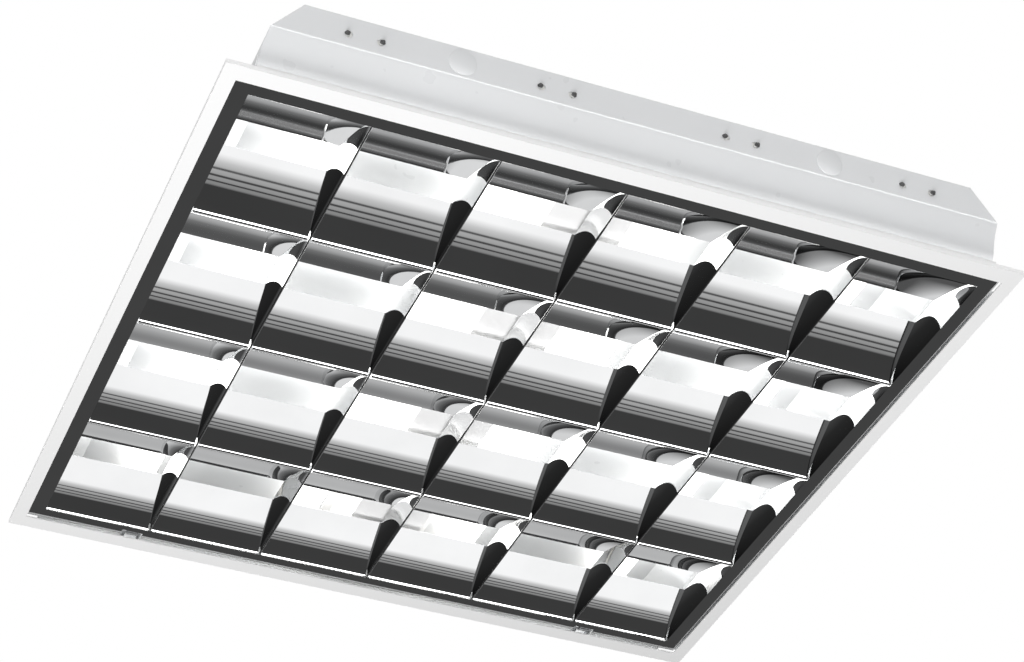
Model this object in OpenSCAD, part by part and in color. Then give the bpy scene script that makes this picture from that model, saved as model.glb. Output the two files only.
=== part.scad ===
// Square louvre ceiling light for four 18 W tubes of 26 mm, screwed to the ceiling by its back.
// The origin is the middle of the back, on the ceiling plane, and everything hangs below it.
// X runs across the lamps, Y along them, and the bezel's face is body_h below the ceiling.

/* [Bezel] */
// Outer size of the square bezel
bezel_size = 595; // [593:1:600]
// Width of the bezel's face along the front and rear
bezel_face_end = 14.5; // [13:0.5:15]
// Width of the bezel's face along the left and right
bezel_face_side = 11; // [10:0.5:12]
// Sheet thickness of the bezel rails
bezel_t = 1; // [0.8:0.1:1.2]
// Height of the bezel's turned-up outer lip
lip_h = 2.5; // [2:0.5:4]
// Distance from the bezel's outer edge to its upstand
upstand_inset = 3; // [2:0.5:4]
// Height of the bezel's upstand along the left and right
upstand_h_side = 8; // [7:0.5:9]

/* [Housing] */
// Depth of the housing, from the ceiling to the bezel's face
body_h = 56; // [56:1:70]
// Sheet thickness of the housing
sheet_t = 0.8; // [0.6:0.1:1]
// Distance from the bezel's outer edge to the side walls
side_inset = 21.5; // [20:0.5:21.5]
// Distance from the bezel's outer edge to the foot of the end walls
end_inset = 7.5; // [7:0.5:8]
// Distance from the bezel's front edge to the start of the side rails' upstands
corner_clear = 35; // [30:1:60]
// How far the end plates' feet stop short of the side walls
end_foot_short = 1; // [0.8:0.1:2]
// Height of the upright foot of the end walls
end_foot_h = 8; // [6:0.5:9]
// Distance of the bend below the lamp axes
knee_drop = 7; // [6:0.5:7.5]
// How far the sides draw in from foot to bend
knee_draw = 3.5; // [2:0.5:4]
// How far the sides draw in from bend to back
top_draw = 21.5; // [18:0.5:24]
// Outward lean of the lampholder strip, in degrees
strip_lean = 8; // [6:1:10]
// Bow of the end walls below the bend: 1 is straight
end_bow = 1.5; // [1:0.1:2]
// Radius of the round knock-outs in the lampholder strips
knockout_r = 10; // [8:0.5:10]
// Distance of the knock-outs from the middle
knockout_x = 138; // [130:1:145]

/* [Mounting] */
// Diameter of the four screw holes in the back
mount_hole_d = 6.5; // [5:0.5:8]
// Spacing of the screw holes across the lamps
mount_pitch_x = 276.8; // [260:0.2:290]
// Spacing of the screw holes along the lamps
mount_pitch_y = 440; // [400:5:480]
// Bore of the cable grommet
cable_d = 9; // [7:0.5:11]
// Distance of the cable entry from the middle, along the lamps
cable_y = 12; // [10:1:14]

/* [Lamps] */
// Diameter of the lamp tubes
lamp_d = 26; // [24:0.5:26]
// Length of a lamp between its end faces
lamp_l = 589.8; // [587:0.2:592]
// Distance of the lamp axes below the ceiling
lamp_drop = 16.5; // [16:0.5:16.5]
// Wall of a lamp's glass
glass_t = 0.8; // [0.7:0.1:1]
// Length of a lamp's metal end cap
cap_l = 16; // [12:1:20]
// Spacing of a lamp's two pins
pin_pitch = 12.7; // [12:0.1:13]
// Diameter of a lamp pin
pin_d = 2.35; // [2:0.05:2.5]
// Length of a lamp pin
pin_l = 7.1; // [6.5:0.1:7.5]

/* [Lampholders] */
// Width of a lampholder
holder_w = 32; // [30:1:36]
// Depth of a lampholder along the lamp, at its base
holder_depth = 11.4; // [11.2:0.1:12]
// Height of a lampholder below the lamp axis
holder_down = 13; // [12:0.5:13]
// Height of a lampholder above the lamp axis
holder_up = 10; // [9.6:0.1:10.4]
// Radius of a lampholder's turning rotor
rotor_r = 8.4; // [8:0.1:8.8]
// Depth of a lampholder's turning rotor
rotor_depth = 7.6; // [7.5:0.1:7.8]
// Spacing of a lampholder's two snap feet
foot_pitch = 24; // [22:0.5:26]
// Diameter of a snap foot
foot_d = 3; // [2.6:0.1:3.2]

/* [Gear] */
// Width of a ballast
ballast_w = 40; // [36:1:42]
// Length of a ballast
ballast_l = 210; // [190:5:212]
// Height of a ballast
ballast_h = 20; // [18:0.5:20]
// Distance of the ballasts' middles from the fitting's middle
ballast_y = 145; // [140:1:148]
// Width of the gear cover's floor
cover_w = 60; // [56:1:64]
// Length of the gear cover
cover_l = 540; // [530:5:550]
// Clear height of the gear cover below the back
cover_h = 25; // [25:0.5:26]

/* [Louvre] */
// Sheet thickness of the louvre
louvre_t = 0.5; // [0.4:0.1:0.6]
// Height of the louvre's underside above the bezel's face
louvre_lift = 2.4; // [2:0.2:3]
// Gap between the louvre and the bezel's opening
louvre_gap = 0.5; // [0.4:0.1:0.8]
// Width of the mirror band along the front and rear
band_end = 12.5; // [11:0.5:13]
// Width of the mirror band along the left and right
band_side = 12; // [11.5:0.5:13]
// Gap between the louvre's top and the lamps
louvre_clear = 2.1; // [2:0.1:4]
// How much shorter than the louvre its four rows of cells are
row_short = 11.4; // [8:0.2:16]
// Half the width of a reflector at its top
wing_spread = 52; // [44:1:54]
// Width of a reflector's folded bottom ridge
ridge_w = 2.5; // [2:0.1:3]
// Curve of a reflector: 1 is a straight wing
wing_power = 1.8; // [1.4:0.1:2.2]
// How much shorter than the louvre its six columns of cells are
blade_short = 9.8; // [8:0.2:24]
// Width of a cross blade at its top
blade_top_w = 12; // [9:0.5:14]
// Width of a cross blade at its bottom edge
blade_edge_w = 1.6; // [1.4:0.1:2]
// Curve of a cross blade: 1 is a straight side
blade_power = 1.8; // [1.4:0.1:2.2]
// Height up to which a blade runs on through the reflectors' ridges
lap_h = 5; // [4:0.5:7]

/* [Hinges and catches] */
// Distance of the hinges and catches from the middle
hinge_x = 200; // [180:5:220]
// Diameter of the hinge pins
hinge_pin_d = 3; // [2.5:0.5:3]
// Height of the hinge axis above the louvre's underside
hinge_h = 2; // [1.8:0.1:2.2]
// Distance of the hinge axis from the louvre's rear edge
hinge_inset = 3.2; // [3:0.1:3.4]
// Length of a hinge eye
eye_l = 8; // [6:1:10]

/* [Hidden] */

// Clearance between parts that only lie near each other
fit_gap = 0.3;
// Clearance between a hinge pin and its eye
pin_gap = 0.05;
// Clearance round a lampholder's rotor
rotor_gap = 0.08;
// Extra length that takes a cut clear of the faces
over = 1;
round_fn = 48;
small_fn = 24;

half = bezel_size / 2;
opening_x = half - bezel_face_side;
opening_y = half - bezel_face_end;
side_x = half - side_inset;
lamp_h = body_h - lamp_drop;
knee_h = lamp_h - knee_drop;
knee_x = side_x - knee_draw;
top_x = knee_x - top_draw;
foot_y = half - end_inset;
end_foot_x = side_x - end_foot_short;
// The lampholders, between the lamps and the strips, set the strips' place
strip_y = lamp_l / 2 + fit_gap + holder_depth + fit_gap + sheet_t;
strip_h = body_h - knee_h;
back_y = strip_y + strip_h * tan(strip_lean);
side_foot_z = upstand_h_side;
corner_y = half - corner_clear;
side_knee_z = knee_h / 2;

louvre_x = opening_x - louvre_gap;
louvre_y = opening_y - louvre_gap;
band_x = louvre_x - band_side;
band_y = louvre_y - band_end;
row_pitch = (2 * louvre_y - row_short) / 4;
blade_pitch = (2 * louvre_x - blade_short) / 6;
// The lamps keep the rows' pitch, so that the square louvre fits either way round
lamp_pitch = row_pitch;
louvre_top = lamp_h - lamp_d / 2 - louvre_clear;
louvre_h = louvre_top - louvre_lift;
// The reflectors end inside both the louvre's band and the leaning side walls
side_slope = (knee_draw + sheet_t * 0.1) / (knee_h - side_knee_z);
side_room = side_x - sheet_t - side_slope * max(0, louvre_top - side_knee_z);
reflector_end = min(band_x - louvre_t, side_room) - fit_gap;
rows = [-1, 0, 1];
blades = [-2, -1, 0, 1, 2];
lamps = [-1.5, -0.5, 0.5, 1.5];
hinge_y = louvre_y - hinge_inset;
hinge_z = louvre_lift + hinge_h;
hinge_pin_r = hinge_pin_d / 2;
eye_r = hinge_pin_r + 1.2;
cheek_t = 2.5;
cheek_gap = 1;
notch_w = eye_l + 2 * (cheek_gap + cheek_t + over);
notch_depth = hinge_inset + 3;
back_in = body_h - sheet_t;
wing_steps = 8;
blade_steps = 6;

wire_d = 4;
wire_z = back_in - wire_d / 2 - 0.4;
wire_y = strip_y - 5.7;
wire_end_x = 1.5 * lamp_pitch + 4;
lead_d = 3;

// Everything below is drawn up from the bezel's face and moved down under the ceiling here
module from_face() {
    translate([0, 0, -body_h]) children();
}

// Distance of an end wall's outer face from the middle, at a height above the bezel's face
function wall_at(z) = z < end_foot_h ? foot_y
    : z < knee_h ? foot_y + (strip_y - foot_y) * pow((z - end_foot_h) / (knee_h - end_foot_h), end_bow)
    : strip_y + (z - knee_h) * tan(strip_lean);
function end_line(shift) = concat([[foot_y - shift, bezel_t + 0.2]],
    [for (k = [0:8]) let (z = end_foot_h + (knee_h - end_foot_h) * k / 8) [wall_at(z) - shift, z]],
    [[back_y - shift, body_h]]);
function flip(points) = [for (k = [len(points) - 1:-1:0]) points[k]];
function mirrored(points) = concat(points, [for (k = [len(points) - 1:-1:0]) [-points[k].x, points[k].y]]);

// One face of a flared sheet: s runs from 0 at the bottom to 1 at the top
function flare_at(s, w0, w1, h, p) = [w0 + (w1 - w0) * pow(s, p), h * s];
function flare_normal(s, w0, w1, h, p) = let (d = [(w1 - w0) * p * pow(s, p - 1), h]) [-d.y, d.x] / norm(d);
function flare_outer(w0, w1, h, p, n) = [for (k = [0:n]) flare_at(k / n, w0, w1, h, p)];
function flare_inner(w0, w1, h, p, n, t) = [for (k = [1:n])
    let (q = flare_at(k / n, w0, w1, h, p) + t * flare_normal(k / n, w0, w1, h, p)) [q.x, min(q.y, h)]];

// A sheet bent to a V with flared sides, its ridge at the bottom
module flared_v(w0, w1, h, p, n, t) {
    out = flare_outer(w0, w1, h, p, n);
    inn = concat([[w0 - t, t]], flare_inner(w0, w1, h, p, n, t));
    half_line = concat(out, flip(inn));
    polygon(concat(half_line, [for (k = [len(half_line) - 1:-1:0]) [-half_line[k].x, half_line[k].y]]));
}

// One side of such a V, standing on a line at zero and flaring to the right
module flared_side(w1, h, p, n, t) {
    polygon(concat(flare_outer(0, w1, h, p, n), flip(concat([[-t, 0]], flare_inner(0, w1, h, p, n, t)))));
}

// The whole space inside such a V, widened by a gap
module flared_space(w0, w1, h, p, n, gap) {
    out = [for (q = flare_outer(w0, w1, h, p, n)) [q.x + gap, q.y]];
    polygon(mirrored(concat([[w0 + gap, -over]], out, [[w1 + gap, h + over]])));
}

// A thin strip bent along a line of points
function strip_side(p, t) = [for (k = [0:len(p) - 1])
    let (d = p[min(k + 1, len(p) - 1)] - p[max(k - 1, 0)]) p[k] + t / 2 * [-d.y, d.x] / norm(d)];
module bent_strip(p, t) {
    polygon(concat(strip_side(p, t), flip(strip_side(p, -t))));
}

module along_x(l) {
    rotate([90, 0, 90]) linear_extrude(l, center = true) children();
}

module along_y(l) {
    rotate([90, 0, 0]) linear_extrude(l, center = true) children();
}

module turned_about_z(back) {
    rotate([0, 0, back ? 180 : 0]) children();
}

module screw_hole() {
    translate([0, 0, -over]) cylinder(d = 4, h = sheet_t + 2 * over, $fn = small_fn);
}

// Sheet-metal tray: back, sloped shoulders, side walls and their outturned feet
module tray() {
    wall_line = [[side_x, side_foot_z], [side_x, side_knee_z], [knee_x, knee_h], [top_x, body_h]];
    room_line = [[side_x - sheet_t, side_foot_z - over], [side_x - sheet_t, side_knee_z],
        [knee_x - sheet_t * 1.1, knee_h], [top_x - sheet_t * 0.6, back_in]];
    foot_out = half - upstand_inset;
    foot_w = foot_out - side_x + sheet_t;
    skirt_z = louvre_lift + louvre_t + 0.5;
    color("white") from_face() difference() {
        intersection() {
            union() {
                along_y(2 * back_y) difference() {
                    polygon(mirrored(wall_line));
                    polygon(mirrored(room_line));
                }
                for (s = [-1, 1]) {
                    translate([s * (side_x - sheet_t + foot_out) / 2 - foot_w / 2, -corner_y, side_foot_z])
                        cube([foot_w, corner_y + back_y, sheet_t]);
                    translate([s * (side_x - sheet_t / 2) - sheet_t / 2, -back_y, skirt_z])
                        cube([sheet_t, back_y - corner_y, side_foot_z - skirt_z + sheet_t]);
                }
            }
            along_x(2 * half) polygon(mirrored(end_line(sheet_t)));
        }
        for (x = [-1, 1], y = [-1, 1]) translate([x * mount_pitch_x / 2, y * mount_pitch_y / 2, back_in - over])
            cylinder(d = mount_hole_d, h = sheet_t + 2 * over, $fn = round_fn);
        translate([0, cable_y, back_in - over])
            cylinder(r = cable_d / 2 + 2, h = sheet_t + 2 * over, $fn = round_fn);
        cover_screw_places() screw_hole();
        ballast_screw_places() screw_hole();
        translate([earth_x, earth_y, back_in]) screw_hole();
    }
}

module end_plate(rear) {
    outline = [[end_foot_x, 0], [end_foot_x, side_knee_z], [knee_x, knee_h], [top_x, body_h]];
    color("gainsboro") turned_about_z(rear) from_face() difference() {
        intersection() {
            along_x(2 * half) polygon([for (q = concat(end_line(0), flip(end_line(sheet_t)))) [-q.x, q.y]]);
            translate([0, -foot_y, 0]) along_y(2 * foot_y) polygon(mirrored(outline));
        }
        for (k = lamps, s = [-1, 1]) translate([k * lamp_pitch + s * foot_pitch / 2, -strip_y, foot_z])
            rotate([90, 0, 0]) cylinder(d = foot_d + 1.2, h = 2 * holder_depth, center = true, $fn = small_fn);
        for (s = [-1, 1]) translate([s * knockout_x, -(strip_y + back_y) / 2, (knee_h + body_h) / 2])
            rotate([90 + strip_lean, 0, 0]) translate([0, 0, -sheet_t / 2]) difference() {
                cylinder(r = knockout_r, h = over + sheet_t, $fn = round_fn);
                translate([0, 0, -over]) cylinder(r = knockout_r - 0.7, h = 4 * over, $fn = round_fn);
            }
    }
}

module end_plate_front() {
    end_plate(false);
}

module end_plate_rear() {
    end_plate(true);
}

// Face and lip of a bezel rail, and the upstand behind them that carries the housing
module rail_face(inner) {
    polygon([[inner, 0], [half, 0], [half, bezel_t + lip_h], [half - bezel_t, bezel_t + lip_h],
        [half - bezel_t, bezel_t], [inner, bezel_t]]);
}

module rail_upstand(up, turn_in) {
    up_out = half - upstand_inset;
    polygon([[up_out - bezel_t, bezel_t / 2], [up_out, bezel_t / 2], [up_out, up], [turn_in, up],
        [turn_in, up - bezel_t], [up_out - bezel_t, up - bezel_t]]);
}

module bezel_rail_end(rear) {
    color("white") turned_about_z(rear) from_face() intersection() {
        rotate([0, 0, 180]) union() {
            along_x(bezel_size) rail_face(opening_y);
            along_x(2 * side_x) rail_upstand(end_foot_h, foot_y);
        }
        linear_extrude(body_h)
            polygon([[-half, -half], [half, -half], [opening_x, -opening_y], [-opening_x, -opening_y]]);
    }
}

module bezel_rail_side(right) {
    up_in = half - upstand_inset - 2 * bezel_t;
    color("white") from_face() mirror([right ? 1 : 0, 0, 0]) intersection() {
        mirror([1, 0, 0]) union() {
            along_y(bezel_size) rail_face(opening_x);
            translate([0, (foot_y - corner_y) / 2, 0]) along_y(foot_y + corner_y)
                rail_upstand(upstand_h_side, up_in);
        }
        linear_extrude(body_h)
            polygon([[-half, half], [-half, -half], [-opening_x, -opening_y], [-opening_x, opening_y]]);
    }
}

module cable_grommet() {
    color("dimgray") translate([0, cable_y, -sheet_t]) difference() {
        union() {
            cylinder(r = cable_d / 2 + 1.9, h = sheet_t, $fn = round_fn);
            translate([0, 0, -2]) cylinder(r = cable_d / 2 + 3.5, h = 2, $fn = round_fn);
        }
        translate([0, 0, -3]) cylinder(d = cable_d, h = 3 + sheet_t + over, $fn = round_fn);
    }
}

block_l = 17;
block_w = 30;
block_h = 14;
block_y = cable_y - cable_d / 2 - 4.5 - block_l / 2;
block_pitch = 9;
block_x = -8;
earth_x = 22;
earth_y = block_y;

// Three-way terminal block with its wire funnels and screw wells
module terminal_block() {
    color("whitesmoke") from_face() translate([block_x, block_y, back_in - block_h]) difference() {
        translate([-block_w / 2, -block_l / 2, 0]) cube([block_w, block_l, block_h]);
        for (k = [-1:1]) {
            translate([k * block_pitch, 0, 7]) rotate([90, 0, 0])
                cylinder(d = 4.5, h = block_l + over, center = true, $fn = small_fn);
            for (s = [-1, 1]) translate([k * block_pitch, s * 4.5, -over])
                cylinder(d = 4, h = 5, $fn = small_fn);
        }
    }
}

module terminal_screws() {
    color("silver") from_face() for (k = [-1:1], s = [-1, 1])
        translate([block_x + k * block_pitch, block_y + s * 4.5, back_in - block_h + 1]) difference() {
            cylinder(d = 3.6, h = 2.6, $fn = small_fn);
            translate([-2, -0.4, -over]) cube([4, 0.8, over + 0.8]);
        }
}

module earth_stud() {
    color("goldenrod") from_face() translate([earth_x, earth_y, back_in]) {
        translate([0, 0, -9]) cylinder(d = 3.8, h = 9 + sheet_t, $fn = small_fn);
        translate([0, 0, -3]) cylinder(d = 8, h = 3, $fn = 6);
        translate([0, 0, -4]) cylinder(d = 9, h = 1, $fn = small_fn);
    }
}

// Length of a ballast's lowered ends, which carry the connectors
ballast_end = 21;

// Flat electronic ballast case with raised cover and lowered ends
module ballast(s) {
    case_line = [[ballast_w / 2, back_in], [ballast_w / 2, back_in - 3], [ballast_w / 2 - 3, back_in - 3],
        [ballast_w / 2 - 3, back_in - ballast_h + 2], [ballast_w / 2 - 5, back_in - ballast_h]];
    color("lightgray") from_face() translate([0, s * ballast_y, 0]) difference() {
        along_y(ballast_l) polygon(mirrored(case_line));
        for (e = [-1, 1]) translate([0, e * (ballast_l - ballast_end + over) / 2, back_in - 3 - ballast_h / 2])
            cube([2 * ballast_w, ballast_end + over, ballast_h], center = true);
        for (e = [-1, 1], x = [-1, 1])
            translate([x * (ballast_w / 2 - 6), e * (ballast_l / 2 - 5), back_in - 3 - over])
                cylinder(d = 4, h = 3 + 2 * over, $fn = small_fn);
    }
}

module ballast_front() {
    ballast(-1);
}

module ballast_rear() {
    ballast(1);
}

module ballast_connectors() {
    color("ivory") from_face() for (s = [-1, 1], e = [-1, 1])
        translate([0, s * ballast_y + e * (ballast_l - ballast_end + over) / 2, back_in - 3]) difference() {
            translate([-8, -8, -12]) cube([16, 16, 12]);
            for (k = [-1:1]) translate([k * 4.5, e * 8, -5]) rotate([90, 0, 0])
                cylinder(d = 2.4, h = 8, center = true, $fn = small_fn);
        }
}

module ballast_screw_places() {
    for (s = [-1, 1], e = [-1, 1], x = [-1, 1])
        translate([x * (ballast_w / 2 - 6), s * ballast_y + e * (ballast_l / 2 - 5), back_in]) children();
}

// Pan-head screw through the back, its head below
module sheet_screw(grip, d, head_d) {
    translate([0, 0, -grip]) cylinder(d = d, h = grip + sheet_t, $fn = small_fn);
    translate([0, 0, -grip - 2]) difference() {
        cylinder(d = head_d, h = 2, $fn = small_fn);
        for (a = [0, 90]) rotate([0, 0, a])
            translate([-head_d / 4, -0.5, -over]) cube([head_d / 2, 1, over + 1]);
    }
}

module ballast_screws() {
    color("silver") from_face() ballast_screw_places() sheet_screw(3, 3.8, 6.5);
}

cover_t = 0.7;
cover_flange = 8;
// Distance of the cover's screws from its ends
cover_screw_in = 60;
cover_x = cover_w / 2 + 8;

// White channel over the ballasts and wiring, flanged onto the back
module gear_cover() {
    low = back_in - cover_h;
    outer_line = [[cover_w / 2, low], [cover_x, back_in - cover_t], [cover_x + cover_flange, back_in - cover_t],
        [cover_x + cover_flange, back_in]];
    inner_line = [[cover_w / 2 - cover_t, low + cover_t], [cover_x - cover_t, back_in + over]];
    color("white") from_face() difference() {
        along_y(cover_l) difference() {
            polygon(mirrored(outer_line));
            polygon(mirrored(inner_line));
        }
        cover_screw_places() translate([0, 0, -cover_t - over]) cylinder(d = 4, h = 4, $fn = small_fn);
    }
}

module cover_screw_places() {
    for (x = [-1, 1], y = [-1, 1])
        translate([x * (cover_x + cover_flange / 2), y * (cover_l / 2 - cover_screw_in), back_in]) children();
}

module cover_screws() {
    color("silver") from_face() cover_screw_places() sheet_screw(cover_t, 3.8, 7);
}

foot_z = lamp_h + 3;

// Turning lampholders, snapped into the strip by two feet each
module lampholders(rear) {
    y0 = lamp_l / 2 + fit_gap;
    low = lamp_h - holder_down;
    high = lamp_h + holder_up;
    hook_y = wall_at(foot_z + foot_d) + 0.1;
    back = [for (z = [high, knee_h, knee_h - (knee_h - low) / 3, knee_h - (knee_h - low) * 2 / 3, low])
        [-wall_at(z) + sheet_t + 1.5 * fit_gap, z]];
    color("white") turned_about_z(rear) from_face() for (k = lamps) translate([k * lamp_pitch, 0, 0]) {
        difference() {
            along_x(holder_w)
                polygon(concat([[-y0 - 1.5, low], [-y0, low + 2], [-y0, high - 2], [-y0 - 1.5, high]], back));
            translate([0, -y0 - rotor_depth - fit_gap, lamp_h]) rotate([-90, 0, 0])
                cylinder(r = rotor_r + rotor_gap, h = rotor_depth + fit_gap + over, $fn = round_fn);
            translate([-1.7, -y0 - pin_l, low - over]) cube([3.4, pin_l + over, holder_down]);
        }
        for (s = [-1, 1]) translate([s * foot_pitch / 2, 0, foot_z]) rotate([90, 0, 0]) {
            translate([0, 0, strip_y - 3]) cylinder(d = foot_d, h = hook_y - strip_y + 4, $fn = small_fn);
            translate([s * 0.7, 0, hook_y])
                cylinder(d1 = foot_d + 0.6, d2 = foot_d - 1, h = 1.8, $fn = small_fn);
        }
    }
}

module lampholders_front() {
    lampholders(false);
}

module lampholders_rear() {
    lampholders(true);
}

// A round tube swept along a route that never runs upright
function route_dir(p, k) = let (a = p[max(k - 1, 0)], b = p[min(k + 1, len(p) - 1)]) (b - a) / norm(b - a);
function ring_at(p, k, r, n) =
    let (d = route_dir(p, k), u = cross(d, [0, 0, 1]) / norm(cross(d, [0, 0, 1])), v = cross(u, d))
    [for (j = [0:n - 1]) p[k] + r * (cos(360 * j / n) * u + sin(360 * j / n) * v)];
module swept_tube(p, d, n) {
    rings = len(p);
    points = [for (k = [0:rings - 1]) each ring_at(p, k, d / 2, n)];
    sides = [for (k = [0:rings - 2], j = [0:n - 1]) each let (a = k * n + j, b = k * n + (j + 1) % n)
        [[a, b, b + n], [a, b + n, a + n]]];
    first = [for (j = [1:n - 2]) [0, j + 1, j]];
    last = [for (j = [1:n - 2]) [(rings - 1) * n, (rings - 1) * n + j, (rings - 1) * n + j + 1]];
    polyhedron(points = points, faces = [for (f = concat(sides, first, last)) flip(f)]);
}

// Lamp wiring, from a ballast's outer connector up and along above the lampholders
module harness(s) {
    y0 = ballast_y + ballast_l / 2 - 2 + fit_gap;
    run = wire_y - y0;
    turn = [[-5, 0, -6], [-5.5, 0.1, -6.3], [-6.5, 0.25, -6.8], [-8, 0.45, -6.2], [-10, 0.62, -4],
        [-13.5, 0.8, -1.4], [-19, 0.92, -0.2], [-28, 0.985, 0], [-45, 1, 0], [-75, 1, 0], [-110, 1, 0],
        [-lamp_pitch, 1, 0], [-wire_end_x, 1, 0]];
    color("lightyellow") from_face() for (x = [-1, 1])
        swept_tube([for (q = turn) [x * q.x, s * (y0 + q.y * run), wire_z + q.z]], wire_d, 8);
}

module harness_front() {
    harness(-1);
}

module harness_rear() {
    harness(1);
}

// Leads from the terminal block to the ballasts' inner connectors
module supply_leads() {
    y1 = ballast_y - ballast_l / 2 + 2 - fit_gap;
    z0 = back_in - block_h / 2;
    color("steelblue") from_face() for (s = [-1, 1]) {
        y0 = block_y + s * (block_l / 2 + fit_gap);
        route = [[block_x, 0, 0], [block_x, 0.2, -0.3], [-7, 0.5, -2], [-5.3, 0.8, -1.3], [-5, 1, -1]];
        swept_tube([for (q = route) [q.x, y0 + q.y * (s * y1 - y0), z0 + q.z]], lead_d, 8);
    }
}

// Saddle clips that hold the lamp wiring against the back
module cable_clips() {
    color("white") from_face() for (x = [-1, 1], y = [-1, 1])
        translate([x * lamp_pitch, y * wire_y, wire_z]) rotate([90, 0, 90]) difference() {
            translate([-4, -3, -4]) cube([8, back_in - wire_z + 3, 8]);
            cylinder(r = wire_d / 2 + 0.1, h = 10, center = true, $fn = small_fn);
        }
}

// Pins with two cheeks each, on the rear end plate
module hinge_brackets() {
    wall_in = foot_y - sheet_t;
    color("silver") from_face() for (x = [-1, 1]) translate([x * hinge_x, 0, 0]) {
        translate([0, hinge_y, hinge_z]) rotate([0, 90, 0])
            cylinder(r = hinge_pin_r, h = eye_l + 2 * cheek_gap + cheek_t, center = true, $fn = small_fn);
        for (s = [-1, 1]) translate([s * (eye_l / 2 + cheek_gap + cheek_t / 2), 0, 0]) along_x(cheek_t)
            polygon([[hinge_y - 1.8, hinge_z - 1.6], [wall_in, hinge_z - 1.6], [wall_in, hinge_z + 1.8],
                [hinge_y - 1, hinge_z + 1.8], [hinge_y - 1.8, hinge_z + 1]]);
        translate([-eye_l / 2 - cheek_gap, wall_in - 1.2, hinge_z - 1.6])
            cube([eye_l + 2 * cheek_gap, 1.2, 3.4]);
    }
}

tab_out = 0.2;
tab_t = 0.8;
tab_h = 9;
spring_t = 0.5;

// Leaf springs on the foot of the front end plate that press on the louvre's tabs
module catch_springs() {
    wall = -foot_y + sheet_t + spring_t / 2;
    tip = -louvre_y + tab_out - fit_gap - spring_t / 2;
    z0 = louvre_lift + louvre_t;
    color("silver") from_face() for (x = [-1, 1]) translate([x * hinge_x, 0, 0]) along_x(14)
        bent_strip([[wall, 7.6], [wall, 5.3], [wall, 3.2], [wall + 0.8, 2.5], [wall + 1.8, 3.1],
            [tip - 0.4, z0 + 5.4], [tip, z0 + 6.3], [tip - 0.4, z0 + 7.2], [tip - 2, z0 + 9.6]], spring_t);
}

module catch_tabs() {
    z0 = louvre_lift + louvre_t;
    y0 = louvre_y - tab_out;
    color("gainsboro") from_face() for (x = [-1, 1]) translate([x * hinge_x, 0, 0]) along_x(12)
        polygon([[-y0, z0], [-y0, z0 + tab_h], [-y0 + tab_t, z0 + tab_h], [-y0 + tab_t, z0 + tab_t],
            [-y0 + 7, z0 + tab_t], [-y0 + 7, z0]]);
}

// The flat mirror band of one louvre edge, mitred at both ends
module band_plate(out_a, out_b, in_a, in_b) {
    linear_extrude(louvre_t) polygon([[-out_a, -out_b], [out_a, -out_b], [in_a, -in_b], [-in_a, -in_b]]);
}

// All the reflectors' spaces, which the blades keep clear of above the lap
module wing_spaces(gap) {
    ridges = concat([for (k = rows) k * row_pitch], [for (s = [-1, 1]) s * (band_y + ridge_w / 2)]);
    for (y = ridges) translate([0, y, 0]) along_x(2 * half)
        flared_space(ridge_w / 2, wing_spread, louvre_h, wing_power, wing_steps, gap);
}

module blade_spaces(gap) {
    for (k = blades) translate([k * blade_pitch, 0, 0]) along_y(2 * half)
        flared_space(blade_edge_w / 2, blade_top_w / 2, louvre_h, blade_power, blade_steps, gap);
}

module louvre_edge_end(rear) {
    color("silver") turned_about_z(rear) from_face() translate([0, 0, louvre_lift]) difference() {
        union() {
            band_plate(louvre_x, louvre_y, band_x, band_y);
            translate([0, -band_y, 0]) along_x(2 * reflector_end)
                flared_side(wing_spread - ridge_w / 2, louvre_h, wing_power, wing_steps, louvre_t);
        }
        intersection() {
            blade_spaces(fit_gap);
            translate([-half, -band_y - louvre_t - over, louvre_t])
                cube([bezel_size, 2 * half, lap_h - louvre_t]);
        }
        if (rear) for (x = [-1, 1]) translate([x * hinge_x - notch_w / 2, -louvre_y - over, -over])
            cube([notch_w, notch_depth + over, louvre_t + 2 * over]);
    }
}

module louvre_edge_front() {
    louvre_edge_end(false);
}

module louvre_edge_rear() {
    louvre_edge_end(true);
}

module louvre_edge_side(right) {
    color("silver") turned_about_z(right) from_face() translate([0, 0, louvre_lift]) union() {
        rotate([0, 0, -90]) band_plate(louvre_y, louvre_x, band_y, band_x);
        difference() {
            translate([-band_x, 0, 0]) along_y(2 * (band_y - fit_gap))
                flared_side((blade_top_w - blade_edge_w) / 2, louvre_h, blade_power, blade_steps, louvre_t);
            translate([0, 0, louvre_t]) intersection() {
                translate([0, 0, -louvre_t]) wing_spaces(fit_gap);
                translate([-half, -half, 0]) cube([bezel_size, bezel_size, body_h]);
            }
        }
    }
}

module louvre_edge_left() {
    louvre_edge_side(false);
}

module louvre_edge_right() {
    louvre_edge_side(true);
}

// Double-winged mirror reflector between two rows of cells, notched for the blades
module side_reflector(k) {
    color("silver") from_face() translate([0, k * row_pitch, louvre_lift]) difference() {
        along_x(2 * reflector_end)
            flared_v(ridge_w / 2, wing_spread, louvre_h, wing_power, wing_steps, louvre_t);
        intersection() {
            blade_spaces(fit_gap);
            translate([-half, -half, -over]) cube([bezel_size, bezel_size, lap_h + over]);
        }
    }
}

// Mirror cross blade: whole along its bottom, cut round the reflectors above the lap
module cross_blade(k) {
    color("silver") from_face() translate([0, 0, louvre_lift]) difference() {
        translate([k * blade_pitch, 0, 0]) along_y(2 * (band_y - fit_gap))
            flared_v(blade_edge_w / 2, blade_top_w / 2, louvre_h, blade_power, blade_steps, louvre_t);
        intersection() {
            wing_spaces(fit_gap);
            translate([-half, -half, lap_h - fit_gap]) cube([bezel_size, bezel_size, body_h]);
        }
    }
}

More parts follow.
